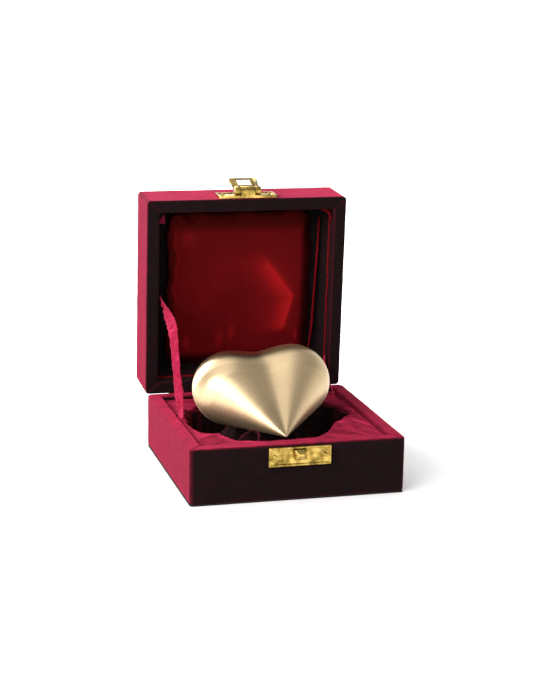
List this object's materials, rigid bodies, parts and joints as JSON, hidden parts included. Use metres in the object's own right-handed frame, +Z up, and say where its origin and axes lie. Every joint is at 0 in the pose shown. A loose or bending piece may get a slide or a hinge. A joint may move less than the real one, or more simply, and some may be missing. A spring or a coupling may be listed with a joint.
{
  "type": "keepsake presentation box",
  "caption": "Square velvet-covered presentation box with a hinged satin-lined lid, snap hasp and lift-out insert, holding a hollow brushed brass keepsake heart.",
  "frame": {"origin": "centre of the box's underside, on the surface it stands on", "axes": "+X to the right of the box seen from the front, +Y from the front to the hinges, +Z up"},
  "size_m": [0.105, 0.1375, 0.1368],
  "materials": {
    "velvet": "cut-pile crimson velvet, dark face on and bright at a glancing angle",
    "ribbon": "woven crimson ribbon",
    "satin": "dark red satin, soft sheen",
    "board": "dense grey board, uncoated",
    "felt": "black flock paper",
    "foam": "white foam, cut",
    "brass": "stamped brass, lightly tarnished",
    "brushed_brass": "pale brass brushed around the heart's point",
    "pin_wire": "drawn wire"
  },
  "bodies": {
    "base": {"base_back_board": "board", "base_floor_board": "board", "base_front_board": "board", "base_left_board": "board", "base_right_board": "board", "base_underside_cloth": "felt", "base_velvet_wrap": "velvet", "hinge_left_base_leaf": "brass", "hinge_left_base_nail_1": "brass", "hinge_left_base_nail_2": "brass", "hinge_left_pin": "pin_wire", "hinge_right_base_leaf": "brass", "hinge_right_base_nail_1": "brass", "hinge_right_base_nail_2": "brass", "hinge_right_pin": "pin_wire", "ribbon_left": "ribbon", "ribbon_right": "ribbon", "strike_lug": "brass", "strike_nail_left": "brass", "strike_nail_right": "brass", "strike_plate": "brass"},
    "lid": {"hasp_hinge_pin": "pin_wire", "hinge_left_lid_leaf": "brass", "hinge_left_lid_nail_1": "brass", "hinge_left_lid_nail_2": "brass", "hinge_right_lid_leaf": "brass", "hinge_right_lid_nail_1": "brass", "hinge_right_lid_nail_2": "brass", "latch_nail_left": "brass", "latch_nail_right": "brass", "latch_plate": "brass", "lid_back_board": "board", "lid_front_board": "board", "lid_left_board": "board", "lid_right_board": "board", "lid_roof_board": "board", "lid_satin_panel": "satin", "lid_velvet_wrap": "velvet", "lid_wall_lining": "satin"},
    "hasp": {"hasp_flap": "brass"},
    "insert": {"insert_card": "board", "insert_foam": "foam", "insert_velvet": "velvet", "well_lining": "velvet"},
    "heart": {"heart_bush": "brushed_brass", "heart_shell": "brushed_brass"},
    "plug": {"heart_plug": "brushed_brass"}
  },
  "joints": [
    {"name": "lid_hinge", "type": "hinge", "parent": "base", "child": "lid", "pos_m": [0, 0.0524, 0.0245], "axis": [1, 0, 0], "range_deg": [0, 87.04], "deforming": ["ribbon_left", "ribbon_right"]},
    {"name": "hasp_hinge", "type": "hinge", "parent": "lid", "child": "hasp", "pos_m": [0, 0.05367, 0.13161], "axis": [1, 0, 0], "range_deg": [-20, 160]},
    {"name": "insert_lift", "type": "slide", "parent": "base", "child": "insert", "axis": [0, 0, 1], "range_m": [0, 0.06]},
    {"name": "heart_tilt", "type": "hinge", "parent": "insert", "child": "heart", "pos_m": [-0.00242, -0.03654, 0.02693], "axis": [-1, 0, 0], "range_deg": [0, 24.5]},
    {"name": "plug_turn", "type": "hinge", "parent": "heart", "child": "plug", "pos_m": [-0.00425, 0.00271, 0.02638], "axis": [0.029, 0.3898, -0.9204], "continuous": true}
  ],
  "couplings": [
    {"joint": "heart_tilt", "follows": "lid_hinge", "ratio": 0.28}
  ]
}
